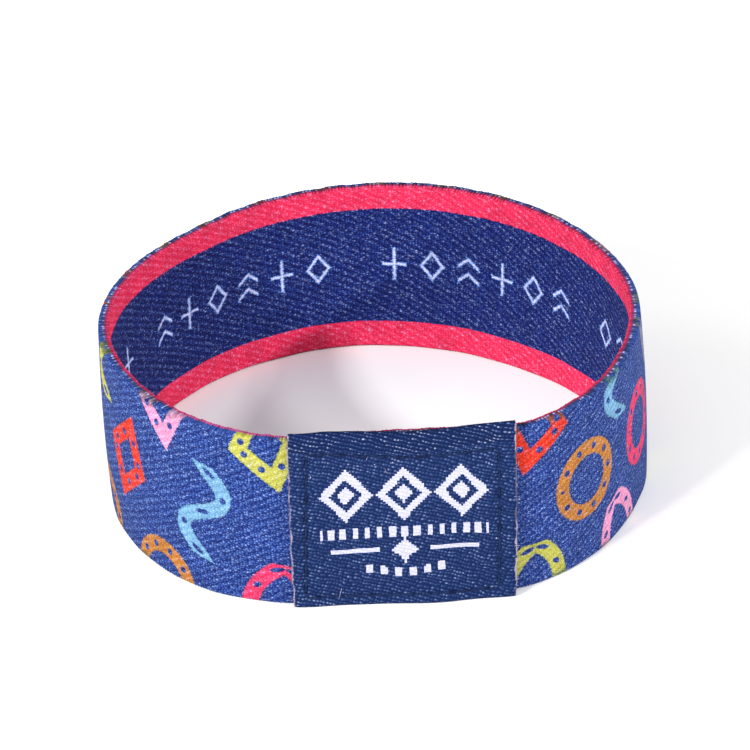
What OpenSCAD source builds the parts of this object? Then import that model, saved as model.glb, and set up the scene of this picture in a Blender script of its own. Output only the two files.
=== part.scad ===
// Fabric wristband: a flat woven elastic strap closed into a loop that stands on its lower edge,
// with a woven label sewn over the join at the front. The front faces -Y and +Z is up.

/* [Strap] */
// Woven width of the strap, which is the height of the standing loop
strap_h = 19; // [12:0.5:26]
// Thickness of the woven strap
strap_t = 1.15; // [1:0.05:2]
// Radius that the two selvedges are rounded to
selvedge_r = 0.35; // [0.1:0.05:0.4]
// How far the strap bows outwards at mid height
crown = 0.25; // [0:0.05:1]
// Size of the loop, 1 for a wrist of average size
loop_size = 1; // [0.85:0.01:1.25]

/* [Label] */
// Direction of the label's left edge, seen from above
label_left = 251; // [235:1:260]
// Direction of the label's right edge at its foot, seen from above
label_right = 299; // [290:1:310]
// How much narrower the label is at its top, in degrees round the loop
label_taper = 1.4; // [0:0.1:4]
// Height of the label along its left edge
label_h_left = 19.9; // [12:0.1:27]
// Height of the label along its right edge
label_h_right = 20.2; // [12:0.1:27]
// Thickness at the label's middle, over the join
label_t = 1; // [0.8:0.05:1.5]
// Thickness along the label's two cut edges
label_edge_t = 0.6; // [0.4:0.05:0.8]
// Gap between the label and the strap
label_gap = 0.05; // [0.02:0.01:0.2]
// How far the label's lower right corner curls off the strap
corner_curl = 0.6; // [0:0.1:2]

/* [Smoothness] */
// Sections along the strap
strap_sections = 96; // [48:12:144]
// Sections along the label
label_sections = 16; // [8:2:32]

/* [Hidden] */

// The loop's form, a row for each bend or flat of the strap, counter-clockwise from +X.
// DIRECTION is in degrees, UPPER and LOWER are the outer face's radius at the two rims.
DIRECTION = 0;
UPPER = 1;
LOWER = 2;
FORM = [
  [  0, 27.2, 27.6],
  [ 30, 27.3, 27.0],
  [ 50, 27.9, 26.9],
  [ 75, 28.6, 27.7],
  [ 95, 28.4, 28.3],
  [115, 27.7, 28.0],
  [135, 27.0, 27.5],
  [155, 27.5, 27.1],
  [180, 28.0, 27.4],
  [205, 27.9, 28.0],
  [230, 28.0, 28.4],
  [249, 27.3, 27.2],
  [262, 25.5, 25.4],
  [275, 25.1, 25.0],
  [288, 26.1, 25.7],
  [301, 28.5, 27.8],
  [318, 28.5, 28.0],
  [340, 27.5, 27.5]
];
rows = len(FORM);
turn = 360;
// Step in degrees over which the strap's direction is measured
step = 0.5;

// The table's row i, carried on round the loop
function row_angle(i) = FORM[(i + rows) % rows][DIRECTION] + turn * floor(i / rows);
function row_radius(i, rim) = loop_size * FORM[(i + rows) % rows][rim];
function row_slope(i, rim) =
  (row_radius(i + 1, rim) - row_radius(i - 1, rim)) / (row_angle(i + 1) - row_angle(i - 1));

// Row that starts the stretch in which the direction a lies
function stretch(a) = max([for (i = [0 : rows - 1]) if (FORM[i][DIRECTION] <= a) i]);

// Smooth curve through the rows: radius of the outer face at a rim, in the direction a
function rim_radius(a, rim) =
  let (
    d = (a % turn + turn) % turn,
    i = stretch(d),
    span = row_angle(i + 1) - row_angle(i),
    u = (d - row_angle(i)) / span
  )
  (2 * u^3 - 3 * u^2 + 1) * row_radius(i, rim)
  + (u^3 - 2 * u^2 + u) * span * row_slope(i, rim)
  + (3 * u^2 - 2 * u^3) * row_radius(i + 1, rim)
  + (u^3 - u^2) * span * row_slope(i + 1, rim);

// Point of the strap's outer face in the direction a at the height z
function face_radius(a, z) =
  let (s = z / strap_h, bow = max(0, 4 * crown * s * (1 - s)))
  rim_radius(a, LOWER) * (1 - s) + rim_radius(a, UPPER) * s + bow;
function face_point(a, z) = face_radius(a, z) * [cos(a), sin(a)];

// Direction square to the outer face, seen from above
function face_normal(a, z) =
  let (run = face_point(a + step, z) - face_point(a - step, z))
  [run[1], -run[0]] / norm(run);

// Point that stands out from the outer face by the given distance, inwards where it is negative
function off_face(a, z, out) =
  let (p = face_point(a, z) + out * face_normal(a, z))
  [p[0], p[1], z];

// The strap's section: pairs of distance out from the outer face, and height
bend = selvedge_r * (1 - cos(45));
outer_heights = [for (k = [0 : 4]) selvedge_r + (strap_h - 2 * selvedge_r) * k / 4];
strap_section = concat(
  [for (z = outer_heights) [0, z]],
  [[-bend, strap_h - bend], [-selvedge_r, strap_h], [selvedge_r - strap_t, strap_h],
   [bend - strap_t, strap_h - bend]],
  [for (k = [4 : -1 : 0]) [-strap_t, outer_heights[k]]],
  [[bend - strap_t, bend], [selvedge_r - strap_t, 0], [-selvedge_r, 0], [-bend, bend]]
);
strap_rings = [
  for (i = [0 : strap_sections - 1])
    [for (p = strap_section) off_face(turn * i / strap_sections, p[1], p[0])]
];

// The label's section: share of the height, and shares of the thickness at the back and the front.
// The first and last rows are the folded edges.
HEIGHT = 0;
BACK = 1;
FRONT = 2;
LABEL_SECTION = [
  [0.00, 0.30, 0.70],
  [0.01, 0.05, 0.95],
  [0.25, 0.00, 1.00],
  [0.50, 0.00, 1.00],
  [0.75, 0.00, 1.00],
  [0.99, 0.05, 0.95],
  [1.00, 0.30, 0.70]
];
last = len(LABEL_SECTION) - 1;
// The higher this power, the nearer to its edge the label's corner starts to curl
CURL_REACH = 4;
function label_height(u) = label_h_left + (label_h_right - label_h_left) * u;
function label_thickness(u) = label_edge_t + (label_t - label_edge_t) * 4 * u * (1 - u);
function label_curl(u, s) = corner_curl * u^CURL_REACH * (1 - s);
function label_point(u, row, side) =
  let (s = row[HEIGHT])
  off_face(
    label_left + (label_right - label_taper * s - label_left) * u,
    s * label_height(u),
    label_gap + row[side] * label_thickness(u) + label_curl(u, s)
  );
label_rings = [
  for (i = [0 : label_sections])
    let (u = i / label_sections)
    concat(
      [for (k = [0 : last]) label_point(u, LABEL_SECTION[k], FRONT)],
      [for (k = [last : -1 : 0]) label_point(u, LABEL_SECTION[k], BACK)]
    )
];

// Middle of the whole object seen from above, which becomes the origin
all_points = concat([for (ring = strap_rings) each ring], [for (ring = label_rings) each ring]);
function middle(axis) =
  (min([for (p = all_points) p[axis]]) + max([for (p = all_points) p[axis]])) / 2;
centre = [middle(0), middle(1), 0];

// Faces between two rings of m points that start at the indices a and b
function band_faces(a, b, m) = [
  for (k = [0 : m - 1])
    let (n = (k + 1) % m)
    each [[a + k, a + n, b + n], [a + k, b + n, b + k]]
];

module elastic_band() {
  m = len(strap_section);
  color("#2f4ea0")
    translate(-centre)
      polyhedron(
        points = [for (ring = strap_rings) each ring],
        faces = [
          for (i = [0 : strap_sections - 1])
            each band_faces(i * m, ((i + 1) % strap_sections) * m, m)
        ],
        convexity = 4
      );
}

module woven_label() {
  m = 2 * (last + 1);
  end = label_sections * m;
  color("#22386f")
    translate(-centre)
      polyhedron(
        points = [for (ring = label_rings) each ring],
        faces = concat(
          [for (i = [0 : label_sections - 1]) each band_faces(i * m, (i + 1) * m, m)],
          [for (k = [0 : last - 1]) each [[k, m - 1 - k, k + 1], [k + 1, m - 1 - k, m - 2 - k]]],
          [for (k = [0 : last - 1])
            each [[end + k, end + k + 1, end + m - 1 - k],
                  [end + k + 1, end + m - 2 - k, end + m - 1 - k]]]
        ),
        convexity = 4
      );
}

elastic_band();
woven_label();
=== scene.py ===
"""Fabric wristband: a woven elastic strap printed on both faces, closed into a loop that stands on its
lower edge, with a woven label sewn over the join. The label faces -Y, +Z is up, and every size is in
millimetres until a mesh is made, which MM turns into metres."""

import math

import bpy
import numpy as np
from mathutils import Matrix, Vector


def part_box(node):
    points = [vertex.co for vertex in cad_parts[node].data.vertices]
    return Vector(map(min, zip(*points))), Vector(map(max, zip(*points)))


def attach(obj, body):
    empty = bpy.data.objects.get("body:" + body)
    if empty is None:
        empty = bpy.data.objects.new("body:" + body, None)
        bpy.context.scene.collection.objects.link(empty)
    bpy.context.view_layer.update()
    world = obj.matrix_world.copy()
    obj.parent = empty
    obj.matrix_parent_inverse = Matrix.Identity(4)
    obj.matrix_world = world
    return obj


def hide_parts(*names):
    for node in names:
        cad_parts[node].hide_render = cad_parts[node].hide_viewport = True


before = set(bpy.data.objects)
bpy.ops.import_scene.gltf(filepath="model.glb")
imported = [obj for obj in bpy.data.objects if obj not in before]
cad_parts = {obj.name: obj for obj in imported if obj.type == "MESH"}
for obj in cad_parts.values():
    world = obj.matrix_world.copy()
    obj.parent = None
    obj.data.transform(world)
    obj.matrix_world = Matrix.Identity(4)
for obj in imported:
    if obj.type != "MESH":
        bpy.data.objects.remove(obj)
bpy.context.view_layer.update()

MM = 0.001
BODY = "root"

# The strap, as in the part's source
STRAP_H = 19.0
STRAP_T = 1.15
CROWN = 0.25

# The loop's form, a row for each bend or flat, counter-clockwise from +X seen from above:
# direction in degrees, and the outer face's radius at the upper and at the lower rim
UPPER = 1
LOWER = 2
FORM = [
    (0, 27.2, 27.6),
    (30, 27.3, 27.0),
    (50, 27.9, 26.9),
    (75, 28.6, 27.7),
    (95, 28.4, 28.3),
    (115, 27.7, 28.0),
    (135, 27.0, 27.5),
    (155, 27.5, 27.1),
    (180, 28.0, 27.4),
    (205, 27.9, 28.0),
    (230, 28.0, 28.4),
    (249, 27.3, 27.2),
    (262, 25.5, 25.4),
    (275, 25.1, 25.0),
    (288, 26.1, 25.7),
    (301, 28.5, 27.8),
    (318, 28.5, 28.0),
    (340, 27.5, 27.5),
]
# Degrees in a turn, and the direction of the strap's join, which is under the label
TURN = 360.0
JOIN = 275.0

# The label: directions of its cut ends at the foot and at the top, and its sizes
LABEL_LEFT = 250.9
LABEL_RIGHT_FOOT = 298.4
LABEL_RIGHT_TOP = 298.8
LABEL_H_LEFT = 19.95
LABEL_H_RIGHT = 20.15
LABEL_SAG = 0.62
LABEL_MIDDLE_T = 1.0
LABEL_EDGE_T = 0.6
LABEL_GAP = 0.05
CORNER_CURL = 0.6
HEM = 2.9


# The loop's shape

def rim_radius(angle, rim):
    """Radius of the outer face at a rim, UPPER or LOWER, on a smooth curve through FORM."""
    rows = np.array(FORM + [(FORM[0][0] + TURN,) + FORM[0][1:]])
    before = np.array([FORM[-1][0] - TURN] + [r[0] for r in FORM])
    after = np.array([r[0] for r in FORM[1:]] + [FORM[0][0] + TURN, FORM[1][0] + TURN])
    radii = rows[:, rim]
    slopes = np.roll(radii[:-1], -1) - np.roll(radii[:-1], 1)
    slopes = np.append(slopes, slopes[0]) / (after - before)
    at = np.mod(angle, TURN)
    i = np.searchsorted(rows[:, 0], at, side="right") - 1
    span = rows[i + 1, 0] - rows[i, 0]
    u = (at - rows[i, 0]) / span
    return (
        (2 * u**3 - 3 * u**2 + 1) * radii[i]
        + (u**3 - 2 * u**2 + u) * span * slopes[i]
        + (3 * u**2 - 2 * u**3) * radii[i + 1]
        + (u**3 - u**2) * span * slopes[i + 1]
    )


def face_point(angle, up):
    """Point of the strap's outer face, seen from above."""
    share = up / STRAP_H
    bow = np.maximum(0, 4 * CROWN * share * (1 - share))
    radius = rim_radius(angle, LOWER) * (1 - share) + rim_radius(angle, UPPER) * share + bow
    turned = np.radians(angle)
    return np.stack([radius * np.cos(turned), radius * np.sin(turned)], -1)


def face_normal(angle, up):
    """Direction square to the outer face, seen from above."""
    step = 0.5
    run = face_point(angle + step, up) - face_point(angle - step, up)
    return np.stack([run[..., 1], -run[..., 0]], -1) / np.linalg.norm(run, axis=-1)[..., None]


def off_face(angle, up, out):
    """Point that stands out from the outer face, inwards where out is negative."""
    angle, up, out = np.broadcast_arrays(np.asarray(angle, float), up, out)
    flat = face_point(angle, up) + out[..., None] * face_normal(angle, up) + PLACE
    return np.concatenate([flat, up[..., None]], -1)


def strap_place():
    """Shift that puts the loop where the CAD strap stands."""
    directions, heights = 1440, 9
    turn = np.linspace(0, TURN, directions)
    faces = [face_point(turn, up) for up in np.linspace(0, STRAP_H, heights)]
    low = np.min([f.min(axis=0) for f in faces], axis=0)
    high = np.max([f.max(axis=0) for f in faces], axis=0)
    node_low, node_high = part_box("elastic_band")
    cad_middle = (np.array(node_low[:2]) + np.array(node_high[:2])) / 2 / MM
    return cad_middle - (low + high) / 2


PLACE = strap_place()

# Direction for each distance along the strap, from the join and to the right seen from outside
LAP_COUNT = 7201
LAP_ANGLES = np.linspace(JOIN, JOIN + TURN, LAP_COUNT)
LAP_STEPS = np.diff(off_face(LAP_ANGLES, STRAP_H / 2, -STRAP_T / 2), axis=0)
LAP = np.concatenate([[0], np.cumsum(np.linalg.norm(LAP_STEPS, axis=1))])
STRAP_LENGTH = float(LAP[-1])


def angle_at(along):
    """Direction in degrees at a distance along the strap, which may be less than 0 or more than a lap."""
    laps = np.floor(np.asarray(along) / STRAP_LENGTH)
    return np.interp(along - laps * STRAP_LENGTH, LAP, LAP_ANGLES) + laps * TURN


def along_at(angle):
    """Distance along the strap at a direction, less than 0 before the join."""
    laps = np.floor((np.asarray(angle) - JOIN) / TURN)
    return np.interp(angle - laps * TURN, LAP_ANGLES, LAP) + laps * STRAP_LENGTH


# Small tools

def linear(colour):
    """sRGB hex colour as the linear RGBA that shaders take."""
    parts = [int(colour[i : i + 2], 16) / 255 for i in (1, 3, 5)]
    return [p / 12.92 if p <= 0.04045 else ((p + 0.055) / 1.055) ** 2.4 for p in parts] + [1.0]


def waves(x, period, seed, lap=None):
    """Sum of sine waves about a period long, mostly from -1 to 1, closed over a lap if one is given."""
    count, shortest, longest = 5, 0.6, 1.7
    random = np.random.default_rng(seed)
    total = np.zeros_like(np.asarray(x, float))
    for _ in range(count):
        length = period * random.uniform(shortest, longest)
        if lap:
            length = lap / math.ceil(lap / length)
        total += np.sin(2 * math.pi * (np.asarray(x) / length + random.random()))
    return total / math.sqrt(2 * count)


def bell(distance, width):
    """1 at no distance, falling smoothly to 0 past the width."""
    return np.exp(-((distance / width) ** 2))


def quad_mesh(name, points, quads, caps=()):
    """Mesh from points in millimetres."""
    mesh = bpy.data.meshes.new(name)
    faces = np.asarray(quads).reshape(-1, 4).tolist() + [list(c) for c in caps]
    mesh.from_pydata((np.asarray(points).reshape(-1, 3) * MM).tolist(), [], faces)
    mesh.update()
    return mesh


def make_object(name, mesh, material):
    """Object at the origin with one material, smooth shaded."""
    piece = bpy.data.objects.new(name, mesh)
    bpy.context.scene.collection.objects.link(piece)
    mesh.materials.clear()
    mesh.materials.append(material)
    mesh.polygons.foreach_set("use_smooth", np.ones(len(mesh.polygons), bool))
    return piece


def corners_of(mesh):
    """The point and the face of each of the mesh's corners."""
    points = np.zeros(len(mesh.loops), int)
    mesh.loops.foreach_get("vertex_index", points)
    totals = np.zeros(len(mesh.polygons), int)
    mesh.polygons.foreach_get("loop_total", totals)
    return points, np.repeat(np.arange(len(totals)), totals)


def write_uv(mesh, name, values):
    """UV map with a pair for each corner."""
    layer = mesh.uv_layers.new(name=name)
    layer.data.foreach_set("uv", np.asarray(values, np.float32).ravel())


def write_float(mesh, name, values, domain="CORNER"):
    """Number for each corner or point, read by an Attribute node."""
    layer = mesh.attributes.new(name, "FLOAT", domain)
    layer.data.foreach_set("value", np.asarray(values, np.float32).ravel())


def write_vector(mesh, name, values):
    """Vector for each point."""
    layer = mesh.attributes.new(name, "FLOAT_VECTOR", "POINT")
    layer.data.foreach_set("vector", np.asarray(values, np.float32).ravel())


def read_float(mesh, name):
    """Number of each point, from a Geometry Nodes tree."""
    values = np.zeros(len(mesh.vertices), np.float32)
    mesh.attributes[name].data.foreach_get("value", values)
    return values.astype(float)


# Kinds of node that are used often, some with the setting that they need
MATH = "ShaderNodeMath"
PLUS = MATH, {"operation": "ADD"}
MINUS = MATH, {"operation": "SUBTRACT"}
TIMES = MATH, {"operation": "MULTIPLY"}
TIMES_PLUS = MATH, {"operation": "MULTIPLY_ADD"}
OVER = MATH, {"operation": "DIVIDE"}
POWER = MATH, {"operation": "POWER"}
ABSOLUTE = MATH, {"operation": "ABSOLUTE"}
MAXIMUM = MATH, {"operation": "MAXIMUM"}
PINGPONG = MATH, {"operation": "PINGPONG"}
LESS_THAN = MATH, {"operation": "LESS_THAN"}
VECTOR_MATH = "ShaderNodeVectorMath"
LENGTH_OF = VECTOR_MATH, {"operation": "LENGTH"}
SCALED = VECTOR_MATH, {"operation": "SCALE"}
MIX = "ShaderNodeMix"
MIX_COLOUR = MIX, {"data_type": "RGBA"}
MAP_RANGE = "ShaderNodeMapRange"
SEPARATE = "ShaderNodeSeparateXYZ"
COMBINE = "ShaderNodeCombineXYZ"
NOISE = "ShaderNodeTexNoise"
FLAT_NOISE = NOISE, {"noise_dimensions": "2D"}
UV_MAP = "ShaderNodeUVMap"
ATTRIBUTE = "ShaderNodeAttribute"
BUMP = "ShaderNodeBump"
ARC = "GeometryNodeCurveArc"
POSITION = "GeometryNodeInputPosition"
INSTANCES = "GeometryNodeInstanceOnPoints"
RANDOM = "FunctionNodeRandomValue"


def add(tree, kind, *values, named=None, **settings):
    """Adds a node with its settings, and fills its inputs, in order or by name, from numbers or nodes."""
    kind, setting = kind if isinstance(kind, tuple) else (kind, {})
    node = tree.nodes.new(kind)
    for name, value in {**setting, **settings}.items():
        setattr(node, name, value)
    shown = [s for s in node.inputs if s.enabled]
    pairs = [(s, v) for s, v in zip(shown, values) if v is not None]
    pairs += [(next(s for s in shown if s.name == name), v) for name, v in (named or {}).items()]
    for socket, value in pairs:
        if isinstance(value, bpy.types.Node):
            value = next(o for o in value.outputs if o.enabled)
        if isinstance(value, bpy.types.NodeSocket):
            tree.links.new(value, socket)
        else:
            socket.default_value = value
    return node


def new_material(name):
    """Material with an empty node tree."""
    material = bpy.data.materials.new(name)
    material.use_nodes = True
    material.node_tree.nodes.clear()
    return material, material.node_tree


def end_material(tree, sockets):
    """Ends a material's tree with its one shader, whose plain numbers are set on its own sockets."""
    shader = add(tree, "ShaderNodeBsdfPrincipled", named=sockets)
    add(tree, "ShaderNodeOutputMaterial", shader)


# The print on the strap's outer face: thick outlined figures scattered in two rows and cut off by the rims

FIGURE_SEED = 11
FIGURE_COLUMNS = 26
FIGURE_SHIFT = 0.6
FIGURE_LIFT = 0.9
FIGURE_TURN = 20.0
FIGURE_HALF_W = 4.5
FIGURE_HALF_H = 5.3
BAND_WIDTH = 1.75
DOT_RADIUS = 0.36
DOT_PITCH = 2.3
INKS = ["#b12d52", "#99632b", "#979544", "#6088a5", "#706e84", "#bc7c9c", "#b12c19"]
INK_ORDER = (0, 3, 1, 2, 6, 1, 5, 3, 0, 2, 4, 1, 6, 5)
KIND_ORDER = (0, 1, 2, 3, 1, 0, 3, 2, 0, 2, 1)


def scatter_figures():
    """Rows of distance along, height, turn in degrees, kind and ink, one for each figure of the print."""
    random = np.random.default_rng(FIGURE_SEED)
    rows = []
    pitch = STRAP_LENGTH / FIGURE_COLUMNS
    for column in range(FIGURE_COLUMNS):
        for share in [0.5] if column % 2 else [0.0, 1.0]:
            along = column * pitch + random.uniform(-FIGURE_SHIFT, FIGURE_SHIFT)
            up = share * STRAP_H + random.uniform(-FIGURE_LIFT, FIGURE_LIFT)
            turn = random.uniform(-FIGURE_TURN, FIGURE_TURN)
            kind = KIND_ORDER[len(rows) % len(KIND_ORDER)]
            ink = INK_ORDER[len(rows) % len(INK_ORDER)]
            rows.append((along, up, turn, kind, ink))
    return rows


FIGURES = scatter_figures()


def in_figure(du, dv, turn):
    """Place in a figure that is turned by an angle in degrees."""
    cosine, sine = np.cos(np.radians(turn)), np.sin(np.radians(turn))
    return du * cosine + dv * sine, dv * cosine - du * sine


def lay_print(mesh, along, up, across):
    """Gives each corner its place on the strap, and its place in the figure nearest to its face."""
    points, faces = corners_of(mesh)
    count = np.bincount(faces)
    furthest = np.zeros(len(count))
    np.maximum.at(furthest, faces, along[points])
    over_seam = furthest[faces] - along[points] > STRAP_LENGTH / 2
    corner_along = along[points] + STRAP_LENGTH * over_seam
    corner_up = up[points]
    face_along = np.bincount(faces, corner_along) / count
    face_up = np.bincount(faces, corner_up) / count
    figures = np.array(FIGURES)
    laps = np.round((face_along[:, None] - figures[:, 0]) / STRAP_LENGTH)
    gap = face_along[:, None] - figures[:, 0] - laps * STRAP_LENGTH
    x, y = in_figure(gap, face_up[:, None] - figures[:, 1], figures[:, 2])
    nearest = np.argmin((x / FIGURE_HALF_W) ** 2 + (y / FIGURE_HALF_H) ** 2, axis=1)
    own = figures[nearest[faces]]
    lap = laps[np.arange(len(count)), nearest][faces]
    x, y = in_figure(corner_along - own[:, 0] - lap * STRAP_LENGTH, corner_up - own[:, 1], own[:, 2])
    write_uv(mesh, "strap_mm", np.stack([corner_along, corner_up], -1))
    write_uv(mesh, "figure_mm", np.stack([x, y], -1))
    write_float(mesh, "face_share", across[points])
    write_float(mesh, "figure_kind", own[:, 3])
    inks = np.array([linear(c) for c in INKS])
    colours = mesh.color_attributes.new("ink", "FLOAT_COLOR", "CORNER")
    colours.data.foreach_set("color", inks[own[:, 4].astype(int)].astype(np.float32).ravel())


# Materials

# Printed dyes
GROUND_DYE = "#283f7a"
NAVY_DYE = "#1a2b68"
STRIPE_DYE = "#ca3459"
MARK_DYE = "#bcb5cb"
MARK_EDGE_DYE = "#628dc7"
# Dark crimson of the rims' line, partly the yarn's dye and partly painted shade
CRIMSON_AND_SHADE = "#8a1e40"
OVERPRINT_DYE = "#1f4038"
OUTLINE_DYE = "#1c4152"
RIM_DYE = "#25233f"
CLEAN_RIM_DYE = "#9c4074"
# Painted highlights: glints on a few of the strap's filaments, and pale crests on some of the rims' yarn
# loops
FILAMENT_GLINT = "#a8bcea"
LOOP_CREST_HIGHLIGHT = "#9494c0"
# The label's yarns, with a painted highlight for the crests of its floats and a painted shade for the
# seam's groove
RIBBON_NAVY = "#1d2e55"
RIBBON_HIGHLIGHT = "#b9b5b4"
RIBBON_WHITE = "#bcbcce"
RIBBON_WHITE_GAPS = "#9b9bb2"
SEAM_SHADE = "#101a38"
CUT_YARN = "#8e8598"
# Distance from the join back to the middle of the rims' clean stretch, its reach to both sides and its fade
CLEAN_MIDDLE = 16.0
CLEAN_REACH = 8.0
CLEAN_FADE = 3.0
# Textured polyester scatters light, so its gloss is far below that of a smooth plastic
DULL_POLYESTER = {"Roughness": 0.75, "IOR": 1.46, "Specular IOR Level": 0.12}
# How far floats stand proud of the gaps between them
FLOAT_RISE = 0.06


def soft_step(tree, value, edge, softness, below=1.0, above=0.0):
    """One number below an edge and another above it, with a soft change between them."""
    low, high = edge - softness, edge + softness
    return add(tree, MAP_RANGE, value, low, high, below, above, interpolation_type="SMOOTHSTEP")


def away_from(tree, value, middle):
    """How far a value lies from a number."""
    off = add(tree, MINUS, value, middle)
    return add(tree, ABSOLUTE, off)


def between(tree, value, low, high):
    """1 between two edges and 0 past them."""
    over = add(tree, MATH, value, low, operation="GREATER_THAN")
    under = add(tree, LESS_THAN, value, high)
    return add(tree, TIMES, over, under)


def wander(tree, place, scale, amount):
    """Place moved about by noise, as yarns wander."""
    noise = add(tree, FLAT_NOISE, place, named={"Scale": scale, "Detail": 2.0})
    centred = add(tree, VECTOR_MATH, noise.outputs["Color"], (0.5, 0.5, 0.5), operation="SUBTRACT")
    bent = add(tree, SCALED, centred, named={"Scale": amount})
    return add(tree, VECTOR_MATH, place, bent, operation="ADD")


def yarn_floats(tree, x, y, length, width, scatter):
    """Short yarn floats in rows: their height from 0 to 1, and two random numbers for each."""
    reach = 0.6
    across = add(tree, OVER, x, length)
    rows = add(tree, OVER, y, width)
    cells = add(tree, COMBINE, across, rows)
    named = {"Scale": 1.0, "Randomness": scatter}
    cell = add(tree, "ShaderNodeTexVoronoi", cells, voronoi_dimensions="2D", named=named)
    height = soft_step(tree, cell.outputs["Distance"], reach / 2, reach / 2)
    chance, other, _ = add(tree, "ShaderNodeSeparateColor", cell.outputs["Color"]).outputs
    return height, chance, other


def along_rows(tree, y, row, scatter, half_width, softness):
    """1 along the middle of each row of floats, and 0 between the rows."""
    shifted = add(tree, MINUS, y, scatter / 2 * row)
    off_row = add(tree, PINGPONG, shifted, row / 2)
    return soft_step(tree, off_row, half_width, softness)


def dotted_rows(tree, x, y, row, half_width, softness):
    """Yarn floats that show only along the middle of each row: their height, and two random numbers."""
    pitch, scatter = 0.34, 0.5
    height, chance, other = yarn_floats(tree, x, y, pitch, row, scatter)
    thread = along_rows(tree, y, row, scatter, half_width, softness)
    return add(tree, TIMES, height, thread), chance, other


def lift_floats(tree, height, chance, least):
    """Height of floats that stand up by different shares, the lowest by the least."""
    share = add(tree, MAP_RANGE, chance, 0.0, 1.0, least, 1.0)
    return add(tree, TIMES, height, share)


def shade_and_dye_floats(tree, colour, lift, curve, deep, pale):
    """Dye that is deep and saturated between the floats, partly painted shade, and pale on their crests,
    partly painted highlight.
    """
    level = add(tree, POWER, lift, curve)
    return add(tree, "ShaderNodeGamma", colour, add(tree, MIX, level, deep, pale))


def ring_band(tree, place, x, y):
    """A ring: distance from its middle line, and distance along it."""
    radius = 3.6
    reach = add(tree, LENGTH_OF, place)
    bearing = add(tree, MATH, y, x, operation="ARCTAN2")
    along = add(tree, TIMES, bearing, radius)
    return add(tree, MINUS, reach, radius), along


def lozenge_band(tree, wide, tall):
    """A lozenge whose sides slope by 4 in 3: distance from its middle line, and distance along it."""
    across, rise, radius, first_dot = 0.8, 0.6, 2.35, 0.9
    lean = add(tree, TIMES, wide, across)
    side = add(tree, TIMES_PLUS, tall, rise, lean)
    back = add(tree, TIMES_PLUS, wide, -rise, first_dot)
    along = add(tree, TIMES_PLUS, tall, across, back)
    return add(tree, MINUS, side, radius), along


def wave_band(tree, x, y):
    """A wave that runs up and swings to both sides: distance from its middle line."""
    swing, bends = 1.9, 2 * math.pi / 8.8
    phase = add(tree, TIMES, y, bends)
    sine = add(tree, MATH, phase, operation="SINE")
    off = add(tree, TIMES_PLUS, sine, -swing, x)
    cosine = add(tree, MATH, phase, operation="COSINE")
    slope = add(tree, TIMES, cosine, swing * bends)
    squared = add(tree, TIMES_PLUS, slope, slope, 1.0)
    steepness = add(tree, MATH, squared, operation="SQRT")
    return add(tree, OVER, off, steepness)


def leaf_band(tree, wide, y):
    """A leaf between two arcs: distance from its middle line."""
    shift, radius = 3.0, 6.0
    shifted = add(tree, PLUS, wide, shift)
    arc = add(tree, LENGTH_OF, add(tree, COMBINE, shifted, y))
    return add(tree, MINUS, arc, radius)


def figure_print(tree):
    """Signed distance from the figure's band, and distance from the nearest small dot on it."""
    place = add(tree, UV_MAP, uv_map="figure_mm")
    kind = add(tree, ATTRIBUTE, attribute_name="figure_kind").outputs["Fac"]
    x, y, _ = add(tree, SEPARATE, place).outputs
    wide, tall = [add(tree, ABSOLUTE, part) for part in (x, y)]
    off_line, along = ring_band(tree, place, x, y)
    lozenge, wave, leaf = lozenge_band(tree, wide, tall), wave_band(tree, x, y), leaf_band(tree, wide, y)
    for number, (other_off, other_along) in enumerate([lozenge, (wave, y), (leaf, y)], 1):
        chosen = add(tree, MATH, kind, number, 0.5, operation="COMPARE")
        off_line = add(tree, MIX, chosen, off_line, other_off)
        along = add(tree, MIX, chosen, along, other_along)

    distance = add(tree, ABSOLUTE, off_line)
    distance = add(tree, MINUS, distance, BAND_WIDTH / 2)
    cut = add(tree, MINUS, tall, FIGURE_HALF_H)
    distance = add(tree, MAXIMUM, distance, cut)
    from_dot = add(tree, PINGPONG, along, DOT_PITCH / 2)
    dot_place = add(tree, COMBINE, from_dot, off_line)
    return distance, add(tree, LENGTH_OF, dot_place)


def from_rim(tree):
    """Distance from the nearer rim."""
    _, up, _ = add(tree, SEPARATE, add(tree, UV_MAP, uv_map="strap_mm")).outputs
    return add(tree, PINGPONG, up, STRAP_H / 2)


def unclean(tree):
    """1 where the two prints darken each other at the rims, and 0 left of the label, where they don't."""
    along, _, _ = add(tree, SEPARATE, add(tree, UV_MAP, uv_map="strap_mm")).outputs
    moved = add(tree, PLUS, along, CLEAN_MIDDLE)
    away = add(tree, PINGPONG, moved, STRAP_LENGTH / 2)
    return soft_step(tree, away, CLEAN_REACH, CLEAN_FADE, 0.0, 1.0)


def where_unclean(tree, share):
    """A share of paint, only where the prints darken each other."""
    return add(tree, TIMES, share, unclean(tree))


def rim_red(tree):
    """Colour of the thin line along the inner side of the rims, whose crimson is partly the yarn's dye and
    partly painted shade.
    """
    return add(tree, MIX_COLOUR, unclean(tree), linear(CLEAN_RIM_DYE), linear(CRIMSON_AND_SHADE))


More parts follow.
